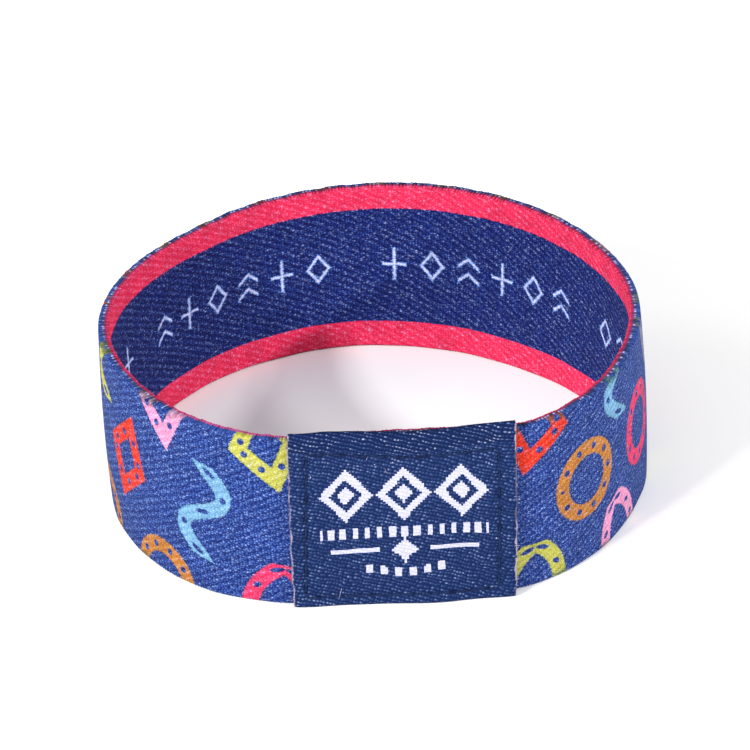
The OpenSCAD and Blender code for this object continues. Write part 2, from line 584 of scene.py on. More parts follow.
def outer_print(tree, ragged):
    """Colour of the outer face, and how much of it a figure covers, its edges made ragged by the weave."""
    edge_wander, edge, edge_soft, dot_soft = -0.12, -0.03, 0.07, 0.08
    distance, dot = figure_print(tree)
    moved = add(tree, TIMES_PLUS, ragged, edge_wander, distance)
    band = soft_step(tree, moved, edge, edge_soft)
    solid = soft_step(tree, dot, DOT_RADIUS, dot_soft, 0.0, 1.0)
    figure = add(tree, TIMES, band, solid)
    ink = add(tree, ATTRIBUTE, attribute_name="ink")
    # Towards the rims the inner face's dye shows through and turns the figures dark
    rim_wander, rim_reach, rim_soft, rim_dark = 0.4, 0.7, 0.4, 0.7
    woven = add(tree, TIMES_PLUS, ragged, rim_wander, from_rim(tree))
    over = where_unclean(tree, soft_step(tree, woven, rim_reach, rim_soft, rim_dark))
    inked = add(tree, MIX_COLOUR, over, ink, linear(OVERPRINT_DYE))
    colour = add(tree, MIX_COLOUR, figure, linear(GROUND_DYE), inked)
    # Where the two dyes overlap, a thin dark line runs round the figure
    line_place, line_half, line_soft, line_dark = -0.04, 0.05, 0.09, 0.4
    line = soft_step(tree, away_from(tree, distance, line_place), line_half, line_soft, line_dark)
    return add(tree, MIX_COLOUR, line, colour, linear(OUTLINE_DYE)), figure


def row_marks(tree, along, up, ragged):
    """The inner face's row of thin marks, lozenges, crosses and chevrons in groups, and the marks' core."""
    pitch, stroke, row_up = 4.15, 0.44, STRAP_H / 2 + 0.2
    shifted = add(tree, MINUS, up, row_up)
    cell = add(tree, OVER, along, pitch)
    number = add(tree, MATH, cell, operation="FLOOR")
    share = add(tree, MATH, cell, operation="FRACT")
    centred = add(tree, MINUS, share, 0.5)
    x = add(tree, TIMES, centred, pitch)
    wide, tall = [add(tree, ABSOLUTE, part) for part in (x, shifted)]

    # A lozenge
    across, rise, radius = 0.78, 0.62, 0.92
    lean = add(tree, TIMES, wide, across)
    side = add(tree, TIMES_PLUS, tall, rise, lean)
    lozenge = away_from(tree, side, radius)

    # A cross
    half_h, half_w = 1.7, 1.15
    bars = []
    for reach, half, off_bar in ((tall, half_h, wide), (wide, half_w, tall)):
        past_end = add(tree, MINUS, reach, half)
        bars.append(add(tree, MAXIMUM, past_end, off_bar))
    cross = add(tree, MATH, *bars, operation="MINIMUM")

    # Two chevrons, one over the other, each side of a middle
    slope, middle, apart, lean, half_w = 0.8, 0.55, 0.85, 0.78, 1.3
    roof = add(tree, TIMES_PLUS, wide, slope, shifted)
    roof = away_from(tree, away_from(tree, roof, middle), apart)
    roof = add(tree, TIMES, roof, lean)
    ends = add(tree, MINUS, wide, half_w - stroke / 2)
    chevrons = add(tree, MAXIMUM, roof, ends)

    # The three kinds take turns, in groups of six with one left out after each
    kinds, cells, filled, wander_by, edge, softness = 3.0, 7.0, 5.5, -0.1, -0.05, 0.09
    kind = add(tree, MATH, number, kinds, operation="FLOORED_MODULO")
    nearest = lozenge
    for value, other in ((1, cross), (2, chevrons)):
        chosen = add(tree, MATH, kind, value, 0.5, operation="COMPARE")
        nearest = add(tree, MIX, chosen, nearest, other)
    nearest = add(tree, TIMES_PLUS, ragged, wander_by, nearest)
    group = add(tree, MATH, number, cells, operation="FLOORED_MODULO")
    shown = add(tree, LESS_THAN, group, filled)
    parts = [soft_step(tree, nearest, width + edge, softness) for width in (stroke / 2, stroke / 4)]
    return [add(tree, TIMES, part, shown) for part in parts]


def inner_print(tree, along, up, ragged):
    """Colour of the inner face: navy between two pink stripes, with a row of pale marks."""
    stripe_low, stripe_high, edge_wander, edge_soft = 3.05, STRAP_H - 2.65, 0.14, 0.06
    edge = add(tree, TIMES_PLUS, ragged, edge_wander, up)
    low = soft_step(tree, edge, stripe_low, edge_soft)
    high = soft_step(tree, edge, stripe_high, edge_soft, 0.0, 1.0)
    stripe = add(tree, PLUS, low, high)
    # The dye ran together along both rims, and where the prints darken each other the line's crimson is
    # partly painted shade
    rim_width, rim_soft, rim_share = 0.22, 0.06, 0.75
    rim = soft_step(tree, from_rim(tree), rim_width, rim_soft, rim_share)
    red = add(tree, MIX_COLOUR, rim, linear(STRIPE_DYE), rim_red(tree))
    colour = add(tree, MIX_COLOUR, stripe, linear(NAVY_DYE), red)
    mark, core = row_marks(tree, along, up, ragged)
    for part, dye in ((mark, MARK_EDGE_DYE), (core, MARK_DYE)):
        colour = add(tree, MIX_COLOUR, part, colour, linear(dye))
    return colour, add(tree, MAXIMUM, stripe, mark)


def twill(tree, yarns, outside):
    """Height of the strap's weave from 0 to 1, and a random number for each of its grains."""
    x, y, _ = add(tree, SEPARATE, yarns).outputs
    # Each column of floats is 0.52 from the last and 0.27 higher, in slanting ribs 0.8 apart
    column, rise, repeat, scatter, least_float = 0.52, 0.27, 0.8, 0.2, 0.68
    slant = add(tree, TIMES_PLUS, x, -rise / column, y)
    floats, _, _ = yarn_floats(tree, x, slant, column, repeat, scatter)
    floats = add(tree, MAP_RANGE, floats, 0.0, 1.0, least_float, 1.0)
    rib = along_rows(tree, slant, repeat, scatter, repeat / 4, repeat / 4)
    rib = add(tree, TIMES, rib, floats)
    # Single filaments are too fine to show, so bundles of them are drawn as grains of 0.3 by 0.2
    length, width, scatter, least_grain = 0.3, 0.2, 0.75, 0.37
    grains, chance, other = yarn_floats(tree, x, y, length, width, scatter)
    inner_ribs, outer_ribs = 0.31, 0.25
    rib_share = add(tree, MIX, outside, inner_ribs, outer_ribs)
    return add(tree, MIX, rib_share, lift_floats(tree, grains, chance, least_grain), rib), other


def printed_elastic():
    """Woven polyester elastic, dye printed: matt, with bright floats that break every colour up."""
    material, tree = new_material("printed_polyester_elastic")
    place = add(tree, UV_MAP, uv_map="strap_mm")
    share = add(tree, ATTRIBUTE, attribute_name="face_share").outputs["Fac"]
    outer_share, share_soft = 0.68, 0.06
    outside = soft_step(tree, share, outer_share, share_soft)
    # Yarns wander by about a tenth of a millimetre, and their edges by less
    yarns = wander(tree, place, scale=0.9, amount=0.3)
    yarns = wander(tree, yarns, scale=3.0, amount=0.14)
    height, other = twill(tree, yarns, outside)
    outer, figure = outer_print(tree, height)
    along, up, _ = add(tree, SEPARATE, place).outputs
    inner, printed = inner_print(tree, along, up, height)
    dyed = add(tree, MIX_COLOUR, outside, inner, outer)
    bold = add(tree, MIX, outside, printed, figure)
    # The rim's middle takes both dyes
    rim_middle, rim_half, rim_soft, rim_dark = 0.48, 0.24, 0.1, 0.6
    both = soft_step(tree, away_from(tree, share, rim_middle), rim_half, rim_soft, rim_dark)
    dyed = add(tree, MIX_COLOUR, where_unclean(tree, both), dyed, linear(RIM_DYE))

    # Pictures change tone less than the ground does. Each pair is for the inner and the outer face
    ground_deep, ground_pale = (1.48, 1.58), (0.2, 0.28)
    ink_deep, ink_pale = (1.35, 1.25), (0.45, 0.55)
    deep, pale = [
        add(tree, MIX, bold, add(tree, MIX, outside, *ground), add(tree, MIX, outside, *ink))
        for ground, ink in ((ground_deep, ink_deep), (ground_pale, ink_pale))
    ]
    inner_curve, outer_curve = 1.25, 0.92
    curve = add(tree, MIX, outside, inner_curve, outer_curve)
    # Painted shade between the floats and painted highlights on their crests, with the dye's own change
    # from deep to pale
    toned = shade_and_dye_floats(tree, dyed, height, curve, deep, pale)
    # The dye took unevenly, in patches of a few millimetres
    blotch = add(tree, FLAT_NOISE, place, named={"Scale": 0.5, "Detail": 4.0})
    noise_span, patch_span = (0.3, 0.7), (0.88, 1.12)
    patch = add(tree, MAP_RANGE, blotch, *noise_span, *patch_span)
    body = add(tree, SCALED, toned, named={"Scale": patch})
    # Painted highlights: a few floats turn pale, standing in for filaments that glint in the lamps' light
    rarity, glint_share = 9.0, 0.5
    bright = add(tree, POWER, other, rarity)
    glint = add(tree, TIMES, bright, height)
    glint = add(tree, TIMES, glint, glint_share)
    colour = add(tree, MIX_COLOUR, glint, body, linear(FILAMENT_GLINT))
    bump = add(tree, BUMP, named={"Strength": 0.7, "Distance": FLOAT_RISE * MM, "Height": height})
    end_material(tree, {**DULL_POLYESTER, "Base Color": colour, "Normal": bump})
    return material


def selvedge_yarn():
    """Textured polyester yarn over the rim, where both prints run out and darken each other."""
    material, tree = new_material("selvedge_yarn")
    place = add(tree, UV_MAP, uv_map="strap_mm")
    noise = add(tree, FLAT_NOISE, place, named={"Scale": 3.0, "Detail": 2.0})
    chance = add(tree, ATTRIBUTE, attribute_name="chance").outputs["Fac"]
    share = add(tree, ATTRIBUTE, attribute_name="face_share").outputs["Fac"]
    outer, _ = outer_print(tree, noise)
    # Places on the loop run from 0 outside to 1 inside, and noise moves them
    noise_share = 0.3
    ragged = add(tree, TIMES_PLUS, noise, noise_share, share)
    # The line is wider where the prints meet cleanly
    widening, line_start, line_soft, top_end, top_soft = -0.14, 0.63, 0.08, 1.08, 0.05
    moved = add(tree, TIMES_PLUS, unclean(tree), widening, ragged)
    outside = soft_step(tree, moved, line_start, line_soft)
    over_top = soft_step(tree, ragged, top_end, top_soft)
    red = add(tree, MIX_COLOUR, over_top, linear(STRIPE_DYE), rim_red(tree))
    colour = add(tree, MIX_COLOUR, outside, red, outer)
    crest, crest_half, crest_soft, crest_dark = 0.58, 0.2, 0.12, 0.6
    off_crest = away_from(tree, ragged, crest)
    near = where_unclean(tree, soft_step(tree, off_crest, crest_half, crest_soft))
    both = add(tree, TIMES, near, crest_dark)
    colour = add(tree, MIX_COLOUR, both, colour, linear(RIM_DYE))
    # Painted highlights: some loops are pale on their crest, as if lit there
    tip_half, tip_soft, chance_span, pale_span = 0.12, 0.1, (0.5, 0.9), (0.0, 0.8)
    pale = add(tree, MAP_RANGE, chance, *chance_span, *pale_span)
    for mask in (soft_step(tree, off_crest, tip_half, tip_soft), near):
        pale = add(tree, TIMES, pale, mask)
    colour = add(tree, MIX_COLOUR, pale, colour, linear(LOOP_CREST_HIGHLIGHT))
    chance_span, tone_span = (0.0, 0.6), (0.6, 1.08)
    tone = add(tree, MAP_RANGE, chance, *chance_span, *tone_span)
    shaded = add(tree, SCALED, colour, named={"Scale": tone})
    end_material(tree, {**DULL_POLYESTER, "Base Color": shaded})
    return material


def large_lozenges(tree, wide, up, reach):
    """Three large lozenges, each an outline round a filled one."""
    middle, pitch, slope, core_half, outline_from, outline_to = 12.3, 2.9, 0.92, 0.95, 1.75, 2.75
    folded = add(tree, PINGPONG, wide, pitch)
    lean = add(tree, TIMES_PLUS, away_from(tree, up, middle), slope, folded)
    core = add(tree, LESS_THAN, lean, core_half)
    both = add(tree, PLUS, between(tree, lean, outline_from, outline_to), core)
    return add(tree, TIMES, both, reach)


def line_and_star(tree, wide, up):
    """A line on each side of a small star."""
    line_up, line_across = (5.6, 6.05), (2.6, 7.6)
    level, reach = between(tree, up, *line_up), between(tree, wide, *line_across)
    line = add(tree, TIMES, level, reach)
    middle, sharpness, size = 5.8, 1.6, 1.5
    tall = away_from(tree, up, middle)
    low, far = [add(tree, MATH, wide, tall, operation=which) for which in ("MINIMUM", "MAXIMUM")]
    star = add(tree, TIMES_PLUS, low, sharpness, far)
    star = add(tree, LESS_THAN, star, size)
    return add(tree, MAXIMUM, line, star)


def dashes(tree, wide, length, first, row, reach):
    """Dashes as long as their gaps: the middle is in a dash for LESS_THAN, in a gap for GREATER_THAN."""
    fold = add(tree, PINGPONG, wide, length)
    total = add(tree, MATH, fold, length / 2, operation=first)
    for mask in (row, reach):
        total = add(tree, TIMES, total, mask)
    return total


def woven_ornament(tree, place):
    """The label's woven figure: lozenges, a row of checks, a line with a star, and a curved row of dots."""
    # The figure is woven in steps of a quarter of a millimetre
    step = 0.24
    stepped = add(tree, VECTOR_MATH, place, (step, step, 1.0), operation="SNAP")
    x, up, _ = add(tree, SEPARATE, stepped).outputs
    wide = add(tree, ABSOLUTE, x)
    figure_half, check_length, checks_up = 8.6, 0.62, (7.2, 8.5)
    reach = add(tree, LESS_THAN, wide, figure_half)
    total = large_lozenges(tree, wide, up, reach)
    checks = dashes(tree, wide, check_length, "LESS_THAN", between(tree, up, *checks_up), reach)
    # The dots lie on a shallow curve
    bend, dots_half, dot_length, dots_up = -0.035, 4.4, 0.72, (2.8, 3.7)
    squared = add(tree, TIMES, wide, wide)
    bow = add(tree, TIMES_PLUS, squared, bend, up)
    reach = add(tree, LESS_THAN, wide, dots_half)
    dots = dashes(tree, wide, dot_length, "GREATER_THAN", between(tree, bow, *dots_up), reach)
    for other in (checks, line_and_star(tree, wide, up), dots):
        total = add(tree, MAXIMUM, total, other)
    return total


def ribbon_ground(tree, place, height, chance, hem):
    """The label's navy ground: deep between the floats, where shade is painted, and pale on those that
    stand out most, whose crests get painted highlights.
    """
    crest_strength = add(tree, FLAT_NOISE, place, named={"Scale": 0.6, "Detail": 2.0})
    noise_span, strength_span = (0.35, 0.65), (0.55, 1.15)
    crest_strength = add(tree, MAP_RANGE, crest_strength, *noise_span, *strength_span)
    rarity, least_float, curve = 1.7, 0.25, 0.6
    rare = add(tree, POWER, chance, rarity)
    crest_strength = add(tree, TIMES, rare, crest_strength)
    # Each pair is for the body and for the folded hem
    deep, pale, highlight_share = [
        add(tree, MIX, hem, *pair) for pair in ((1.27, 1.32), (0.48, 0.38), (0.2, 0.7))
    ]
    lift = lift_floats(tree, height, crest_strength, least_float)
    navy = shade_and_dye_floats(tree, linear(RIBBON_NAVY), lift, curve, deep, pale)
    # Painted highlights: the crests of the floats that stand up most turn pale, far more over the folded
    # hem
    crest = add(tree, TIMES, height, crest_strength)
    crest = add(tree, POWER, crest, 2.0)
    crest = add(tree, TIMES, crest, highlight_share)
    return add(tree, MIX_COLOUR, crest, navy, linear(RIBBON_HIGHLIGHT))


def cut_ends(tree, place, chance):
    """0 on the label's cut ends, apart from the dark gap between its two layers, and 1 elsewhere."""
    x, _, _ = add(tree, SEPARATE, place).outputs
    wide = add(tree, ABSOLUTE, x)
    fray, edge, edge_soft = 0.12, LABEL_W / 2 - 0.02, 0.04
    frayed = add(tree, TIMES_PLUS, chance, fray, wide)
    body = soft_step(tree, frayed, edge, edge_soft)
    depth = add(tree, ATTRIBUTE, attribute_name="off_strap_mm").outputs["Fac"]
    layer = add(tree, PINGPONG, depth, LABEL_EDGE_T / 4)
    gap_half, gap_soft, gap_dark = 0.06, 0.04, 0.8
    gap = soft_step(tree, layer, gap_half, gap_soft, gap_dark)
    return add(tree, MAXIMUM, body, gap)


def damask_ribbon():
    """Woven damask ribbon: fine slanting rows of dotted floats with a slight gloss, and a white figure."""
    material, tree = new_material("damask_ribbon")
    place = add(tree, UV_MAP, uv_map="label_mm")
    from_top, inset, _ = add(tree, SEPARATE, add(tree, UV_MAP, uv_map="label_edges_mm")).outputs
    # Rows run down to the right by 17 degrees
    slope = math.radians(17)
    yarns = wander(tree, place, scale=0.6, amount=0.45)
    turned = add(tree, "ShaderNodeVectorRotate", yarns, rotation_type="Z_AXIS", named={"Angle": slope})
    x, y, _ = add(tree, SEPARATE, turned).outputs
    # The rows are further apart over the folded hem
    fine, fine_chance, fine_other = dotted_rows(tree, x, y, row=0.39, half_width=0.1, softness=0.09)
    bold, bold_chance, _ = dotted_rows(tree, x, y, row=0.43, half_width=0.07, softness=0.06)
    hem_end, hem_soft = 2.4, 0.25
    hem = soft_step(tree, from_top, hem_end, hem_soft)
    height = add(tree, MIX, hem, fine, bold)
    navy = ribbon_ground(tree, place, height, add(tree, MIX, hem, fine_chance, bold_chance), hem)
    # The seam's groove is in shade
    seam_half, seam_soft, seam_dark = 0.12, 0.14, 0.55
    seam = soft_step(tree, add(tree, ABSOLUTE, inset), seam_half, seam_soft, seam_dark)
    navy = add(tree, MIX_COLOUR, seam, navy, linear(SEAM_SHADE))
    white = add(tree, MIX_COLOUR, fine, linear(RIBBON_WHITE_GAPS), linear(RIBBON_WHITE))
    figure = woven_ornament(tree, wander(tree, place, scale=0.8, amount=0.16))
    colour = add(tree, MIX_COLOUR, figure, navy, white)
    # The cut ends show the yarns' undyed cores
    body = cut_ends(tree, place, fine_other)
    colour = add(tree, MIX_COLOUR, body, linear(CUT_YARN), colour)
    bump = add(tree, BUMP, named={"Strength": 0.8, "Distance": FLOAT_RISE * MM, "Height": height})
    gloss = {"Roughness": 0.6, "IOR": 1.5, "Specular IOR Level": 0.04}
    end_material(tree, {**gloss, "Base Color": colour, "Normal": bump})
    return material


def mottled_fibre(name, gloss, grain, detail, dark, light):
    """Material of two shades in patches about a grain across, which is in millimetres."""
    material, tree = new_material(name)
    place = add(tree, "ShaderNodeTexCoord").outputs["Object"]
    noise = add(tree, NOISE, place, named={"Scale": 0.4 / (grain * MM), "Detail": detail})
    share = add(tree, MAP_RANGE, noise, 0.4, 0.6, 0.0, 1.0)
    colour = add(tree, MIX_COLOUR, share, linear(dark), linear(light))
    end_material(tree, {**gloss, "Base Color": colour})
    return material


def sewing_thread():
    """Twisted polyester thread, navy, with the shade between its plies every fraction of a millimetre."""
    gloss = {"Roughness": 0.6, "Specular IOR Level": 0.06}
    grain, detail, dark, light = 0.15, 1.0, "#0a1430", "#152546"
    return mottled_fibre("spun_polyester_thread", gloss, grain, detail, dark, light)


def raw_fibre():
    """Undyed polyester fibre at the ribbon's cut ends: off-white, greyer where dyed yarns end with it."""
    gloss = {"Roughness": 0.5, "Specular IOR Level": 0.4}
    grain, detail, dark, light = 0.6, 2.0, "#7d708c", "#b9aebb"
    return mottled_fibre("undyed_polyester_fibre", gloss, grain, detail, dark, light)


# Geometry Nodes

def shape_tree(name, sizes):
    """Geometry Nodes tree that takes seed points and a named input for each size, and those inputs."""
    tree = bpy.data.node_groups.new(name, "GeometryNodeTree")
    tree.interface.new_socket("Seeds", in_out="INPUT", socket_type="NodeSocketGeometry")
    for size in sizes:
        tree.interface.new_socket(size, in_out="INPUT", socket_type="NodeSocketFloat")
    tree.interface.new_socket("Geometry", in_out="OUTPUT", socket_type="NodeSocketGeometry")
    return tree, tree.nodes.new("NodeGroupInput").outputs


def close_tree(tree, geometry, material):
    """Ends a tree with its instances realized and its material set."""
    real = add(tree, "GeometryNodeRealizeInstances", geometry)
    done = add(tree, "GeometryNodeSetMaterial", real, named={"Material": material})
    add(tree, "NodeGroupOutput", done)
    return tree


def round_thread(tree, path, sides, radius):
    """Closed round thread along a path."""
    ring = add(tree, "GeometryNodeCurvePrimitiveCircle", named={"Resolution": sides, "Radius": radius})
    return add(tree, "GeometryNodeCurveToMesh", path, ring, named={"Fill Caps": True})


def moved_along(tree, path, x, z):
    """Path whose points are put at new places over and along the seed's own X."""
    return add(tree, "GeometryNodeSetPosition", path, named={"Position": add(tree, COMBINE, x, 0.0, z)})


def at_seeds(tree, size, instance, primary, secondary, **named):
    """An instance at each seed, X along one seed vector and Z towards another, leaning at random."""
    x, z = [
        add(tree, "GeometryNodeInputNamedAttribute", name, data_type="FLOAT_VECTOR")
        for name in (primary, secondary)
    ]
    turn = add(tree, "FunctionNodeAxesToRotation", x, z, primary_axis="X", secondary_axis="Z")
    least = add(tree, TIMES, size["Lean"], -1.0)
    low, high = [add(tree, COMBINE, lean, 0.0, 0.0) for lean in (least, size["Lean"])]
    lean = add(tree, RANDOM, data_type="FLOAT_VECTOR", named={"Min": low, "Max": high, "Seed": 5})
    turn = add(tree, "FunctionNodeRotateRotation", turn, lean, rotation_space="LOCAL")
    points = add(tree, "GeometryNodeMeshToPoints", size["Seeds"])
    named = {"Instance": instance, "Rotation": turn, **named}
    return points, add(tree, INSTANCES, points, named=named)


def grow(name, points, vectors, numbers, make_tree, sizes, lean, material):
    """Runs a tree on seed points, its sizes in millimetres, and keeps the result as a plain object."""
    tree = make_tree(material)
    seeds = bpy.data.meshes.new(name + "_seeds")
    seeds.from_pydata((np.asarray(points).reshape(-1, 3) * MM).tolist(), [], [])
    for key, values in vectors.items():
        write_vector(seeds, key, values)
    for key, values in numbers.items():
        write_float(seeds, key, values, "POINT")
    carrier = bpy.data.objects.new(name + "_seeds", seeds)
    bpy.context.scene.collection.objects.link(carrier)
    modifier = carrier.modifiers.new(name, "NODES")
    modifier.node_group = tree
    inputs = {size: value * MM for size, value in sizes.items()} | {"Lean": lean}
    for socket in tree.interface.items_tree:
        if socket.name in inputs:
            modifier[socket.identifier] = inputs[socket.name]
    evaluated = carrier.evaluated_get(bpy.context.evaluated_depsgraph_get())
    mesh = bpy.data.meshes.new_from_object(evaluated)
    carrier.modifiers.clear()
    bpy.data.objects.remove(carrier)
    mesh.name = name
    return make_object(name, mesh, material)


def selvedge_tree(material):
    """Half loops of yarn that hang over the rim, one at each seed."""
    tree, size = shape_tree("selvedge_loops", ("Yarn radius", "Loop width", "Loop drop", "Lean"))
    arc = add(tree, ARC, named={"Resolution": 9, "Radius": 1.0, "Start Angle": 0.0, "Sweep Angle": math.pi})
    round_x, round_y, _ = add(tree, SEPARATE, add(tree, POSITION)).outputs
    # The arc's shoulders are squared, as the strap's rim is: the lower the powers, the squarer
    side_power, top_power = 0.55, 0.75
    sign = add(tree, MATH, round_x, operation="SIGN")
    far = add(tree, ABSOLUTE, round_x)
    far = add(tree, POWER, far, side_power)
    side = add(tree, TIMES, sign, far)
    half = add(tree, TIMES, size["Loop width"], 0.5)
    x = add(tree, TIMES, side, half)
    high = add(tree, ABSOLUTE, round_y)
    high = add(tree, POWER, high, top_power)
    z = add(tree, MINUS, high, 1.0)
    z = add(tree, TIMES, z, size["Loop drop"])
    yarn = round_thread(tree, moved_along(tree, arc, x, z), 5, size["Yarn radius"])
    across, _, _ = add(tree, SEPARATE, add(tree, POSITION)).outputs
    across = add(tree, OVER, across, size["Loop width"])
    across = add(tree, MINUS, 0.5, across)
    marked = add(tree, "GeometryNodeStoreNamedAttribute", yarn, named={"Name": "across", "Value": across})
    _, loops = at_seeds(tree, size, marked, "out", "up")
    return close_tree(tree, loops, material)


def stitch_tree(material):
    """Stitches that dive into the cloth at both ends, one at each seed."""
    tree, size = shape_tree("running_stitches", ("Thread radius", "Stitch length", "Dive", "Lean"))
    ends = {"Start": (-0.5, 0.0, 0.0), "End": (0.5, 0.0, 0.0)}
    line = add(tree, "GeometryNodeCurvePrimitiveLine", named=ends)
    line = add(tree, "GeometryNodeResampleCurve", line, named={"Count": 8})
    share, _, _ = add(tree, SEPARATE, add(tree, POSITION)).outputs
    x = add(tree, TIMES, share, size["Stitch length"])
    # The middle lies flat and the ends bend down steeply
    steepness = 4.0
    doubled = add(tree, TIMES, share, 2.0)
    bend = add(tree, POWER, doubled, steepness)
    z = add(tree, TIMES, bend, size["Dive"])
    z = add(tree, TIMES, z, -1.0)
    thread = round_thread(tree, moved_along(tree, line, x, z), 6, size["Thread radius"])
    _, stitches = at_seeds(tree, size, thread, "run", "out")
    return close_tree(tree, stitches, material)


def fray_tree(material):
    """Fused yarn ends, a small knot at each seed, and a bent fibre from some of them."""
    tree, size = shape_tree("frayed_ends", ("Knot radius", "Fibre radius", "Fibre length", "Lean"))
    knot = add(
        tree, "GeometryNodeMeshUVSphere", named={"Segments": 6, "Rings": 4, "Radius": size["Knot radius"]},
    )
    small, large = (0.9, 0.5, 0.5), (2.6, 1.3, 1.2)
    grown = add(tree, RANDOM, data_type="FLOAT_VECTOR", named={"Min": small, "Max": large, "Seed": 3})
    points, knots = at_seeds(tree, size, knot, "run", "out", Scale=grown)
    bent = {"Resolution": 6, "Radius": size["Fibre length"], "Start Angle": 0.0, "Sweep Angle": 1.2}
    arc = add(tree, ARC, named=bent)
    chance = add(tree, "GeometryNodeInputNamedAttribute", "fibre")
    some = add(tree, "FunctionNodeCompare", chance, 0.0, operation="GREATER_THAN")
    low, high = (-1.5, -1.5, -3.1), (1.5, 1.5, 3.1)
    wild = add(tree, RANDOM, data_type="FLOAT_VECTOR", named={"Min": low, "Max": high, "Seed": 8})
    fibres = add(
        tree, INSTANCES, points,
        named={"Instance": arc, "Selection": some, "Rotation": wild, "Scale": chance},
    )
    fibres = add(tree, "GeometryNodeRealizeInstances", fibres)
    fibres = round_thread(tree, fibres, 3, size["Fibre radius"])
    both = add(tree, "GeometryNodeJoinGeometry")
    for part in (knots, fibres):
        tree.links.new(part.outputs[0], both.inputs[0])
    return close_tree(tree, both, material)


# The strap

SELVEDGE_R = 0.22
SELVEDGE_PITCH = 0.36
LOOP_WIRE = 0.16
LOOP_DROP = 0.12
LOOP_SETBACK = 0.15
# How far the loops stand over the rims
RIM_INSET = 0.09
STRAP_STATIONS = 620
SECTION_ROWS = 15
CORNER_ROWS = 5
# Height, period and seed of the waves in the upper rim, and how far down from it the strap takes them up
RIM_WAVES = [(0.05, 2.6, 4), (0.035, 1.1, 6)]
RIM_REACH = 3.0


def rim_wave(along):
    """How far the upper rim wavers up and down."""
    return sum(height * waves(along, period, seed, STRAP_LENGTH) for height, period, seed in RIM_WAVES)


def strap_wave(along, up):
    """How far the cloth wavers in and out."""
    height, period, seed, bends, start = 0.05, 9.0, 3, 5.0, 1.0
    return height * waves(along, period, seed, STRAP_LENGTH) * np.sin(up / STRAP_H * bends + start)


def rounded_section(height, thickness, radius, rows, corner_rows):
    """Outline of the strap's section: pairs of distance out from the outer face, and height."""
    half = [(0.0, z) for z in np.linspace(radius, height - radius, rows)]
    for centre_out, start in ((-radius, 0.0), (radius - thickness, 90.0)):
        for degrees in np.linspace(start, start + 90.0, corner_rows + 2)[1:-1]:
            bend = math.radians(degrees)
            half.append((centre_out + radius * math.cos(bend), height - radius + radius * math.sin(bend)))
    return np.array(half + [(-thickness - out, height - z) for out, z in half])


def strap_mesh():
    """The strap as one closed ring of rounded sections, with rims that waver a little."""
    section = rounded_section(STRAP_H - 2 * RIM_INSET, STRAP_T, SELVEDGE_R, SECTION_ROWS, CORNER_ROWS)
    section[:, 1] += RIM_INSET
    along = np.arange(STRAP_STATIONS) / STRAP_STATIONS * STRAP_LENGTH
    up = np.broadcast_to(section[:, 1], (STRAP_STATIONS, len(section)))
    out = section[:, 0] + strap_wave(along[:, None], up)
    near_rim = np.clip((up - STRAP_H + RIM_REACH) / RIM_REACH, 0, 1) ** 2
    points = off_face(angle_at(along)[:, None], up + near_rim * rim_wave(along)[:, None], out)
    count = len(section)
    i, j = np.meshgrid(np.arange(STRAP_STATIONS), np.arange(count), indexing="ij")
    n, m = (i + 1) % STRAP_STATIONS, (j + 1) % count
    quads = np.stack([i * count + j, n * count + j, n * count + m, i * count + m], -1)
    mesh = quad_mesh("printed_strap", points, quads)
    across = np.tile(-section[:, 0] / STRAP_T, STRAP_STATIONS)
    lay_print(mesh, np.repeat(along, count), np.tile(section[:, 1], STRAP_STATIONS), across)
    return mesh


def selvedge_loops(material):
    """Yarn loops round both rims, printed like the strap."""
    seed, shift, rise, lean = 7, 0.12, 0.03, 0.12
    count = round(STRAP_LENGTH / SELVEDGE_PITCH)
    random = np.random.default_rng(seed)
    along = (np.arange(count) + 0.5 + random.uniform(-shift, shift, count)) * STRAP_LENGTH / count
    angle = angle_at(along)
    places, outs, ups = [], [], []
    for rim, up in ((1, STRAP_H - LOOP_WIRE), (-1, LOOP_WIRE)):
        height = np.full(count, up)
        lift = rim_wave(along) + random.uniform(-rise, rise, count) if rim > 0 else 0.0
        places.append(off_face(angle, height + lift, -STRAP_T / 2 + strap_wave(along, height)))
        outs.append(np.pad(face_normal(angle, height), ((0, 0), (0, 1))))
        ups.append(np.tile([0.0, 0.0, rim], (count, 1)))
    piece = grow(
        "selvedge_loops",
        np.concatenate(places),
        {"out": np.concatenate(outs), "up": np.concatenate(ups)},
        {"along": np.tile(along, 2), "chance": random.random(2 * count)},
        selvedge_tree,
        {"Yarn radius": LOOP_WIRE, "Loop width": STRAP_T - 2 * LOOP_SETBACK, "Loop drop": LOOP_DROP},
        lean,
        material,
    )
    mesh = piece.data
    places = np.zeros(len(mesh.vertices) * 3)
    mesh.vertices.foreach_get("co", places)
    lay_print(mesh, read_float(mesh, "along"), places[2::3] / MM, read_float(mesh, "across"))
    return piece


# The label

LABEL_COLUMNS = 150
LABEL_ROWS = 130
LABEL_BACK_ROWS = 10
# How far inside the label's edges its seam runs, which isn't quite square to them
SEAM_LEFT_FOOT = 1.15
SEAM_LEFT_TOP = 1.7
SEAM_RIGHT = 1.5
SEAM_TOP_LEFT = 2.3
SEAM_TOP_RIGHT = 2.95
SEAM_FOOT = 1.15
STITCH_PITCH = 2.05
STITCH_LENGTH = 1.8
STITCH_DIVE = 0.3
THREAD_R = 0.13
# How far the folded hem and the loose belly at the foot stand out, and the seam pulls the cloth in
HEM_STEP = 0.18
BELLY = 0.5
SEAM_PULL = 0.22
SEAM_PULL_REACH = 0.36
# How far the cloth ripples from stitch to stitch
RIPPLE = 0.045
# The higher this power, the nearer to its edge the corner starts to curl
CURL_REACH = 4
# Radius of the folds at the top and the foot
FOLD_R = 0.36
# Fused yarn ends, and the loose fibres between them
KNOT_R = 0.05
FIBRE_R = 0.02
FIBRE_LENGTH = 0.55
